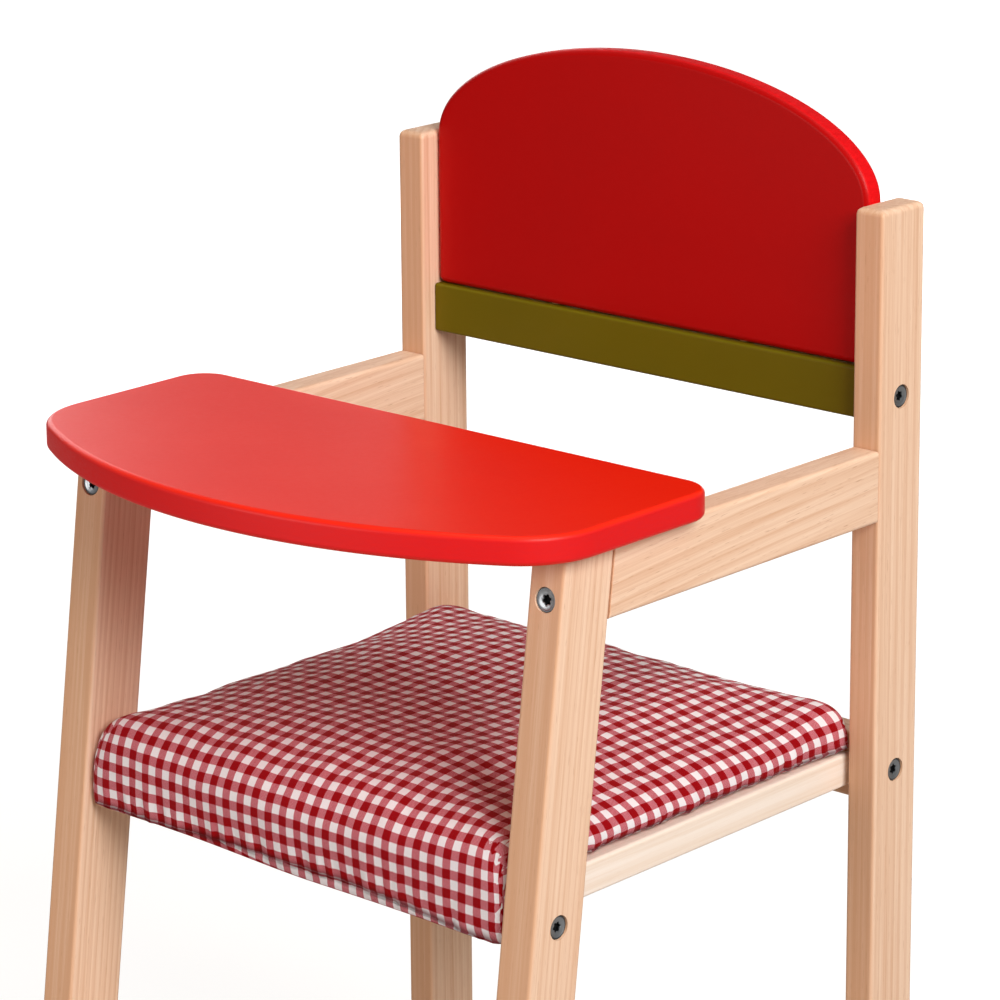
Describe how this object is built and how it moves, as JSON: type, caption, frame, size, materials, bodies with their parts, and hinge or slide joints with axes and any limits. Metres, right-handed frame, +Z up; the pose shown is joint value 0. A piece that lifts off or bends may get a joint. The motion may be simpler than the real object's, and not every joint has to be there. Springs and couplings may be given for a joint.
{
  "type": "doll high chair",
  "caption": "Wooden high chair for dolls with a bowed tray, an arched backrest, two armrests, leaning front legs and a loose checked seat cushion.",
  "frame": {"origin": "on the floor, midway between the tray's front edge and the back of the rear legs, on the middle line", "axes": "+Z up, -Y to the front of the chair, +X to a seated doll's left"},
  "size_m": [0.299, 0.298, 0.555],
  "materials": {
    "beech": "clear satin lacquer on steamed beech",
    "pale_wood": "clear satin lacquer on pale softwood",
    "dowel_wood": "raw beech",
    "red_lacquer": "red satin lacquer on fibreboard",
    "lime_lacquer": "yellow-green satin lacquer on beech",
    "gingham": "red and white gingham cotton",
    "dark_steel": "dark plated steel"
  },
  "bodies": {
    "frame": {"rear_leg_left": "beech", "front_leg_left": "beech", "armrest_left": "beech", "rear_leg_right": "beech", "front_leg_right": "beech", "armrest_right": "beech", "tray": "red_lacquer", "backrest_panel": "red_lacquer", "back_rail": "lime_lacquer", "rear_seat_rail": "beech", "front_seat_rail": "beech", "seat_board": "pale_wood", "footrest": "beech", "screw_arm_front_left": "dark_steel", "screw_arm_rear_left": "dark_steel", "screw_back_rail_left": "dark_steel", "screw_rear_seat_rail_left": "dark_steel", "screw_front_seat_rail_left": "dark_steel", "screw_footrest_left": "dark_steel", "screw_board_front_left": "dark_steel", "screw_board_rear_left": "dark_steel", "screw_arm_front_right": "dark_steel", "screw_arm_rear_right": "dark_steel", "screw_back_rail_right": "dark_steel", "screw_rear_seat_rail_right": "dark_steel", "screw_front_seat_rail_right": "dark_steel", "screw_footrest_right": "dark_steel", "screw_board_front_right": "dark_steel", "screw_board_rear_right": "dark_steel", "dowel_tray_leg_left": "dowel_wood", "dowel_tray_arm_left": "dowel_wood", "dowel_panel_left": "dowel_wood", "dowel_tray_leg_right": "dowel_wood", "dowel_tray_arm_right": "dowel_wood", "dowel_panel_right": "dowel_wood"},
    "cushion": {"cushion": "gingham"}
  },
  "joints": [
    {"name": "cushion_lift", "type": "slide", "parent": "frame", "child": "cushion", "axis": [0, 0, 1], "range_m": [0, 0.09]}
  ]
}
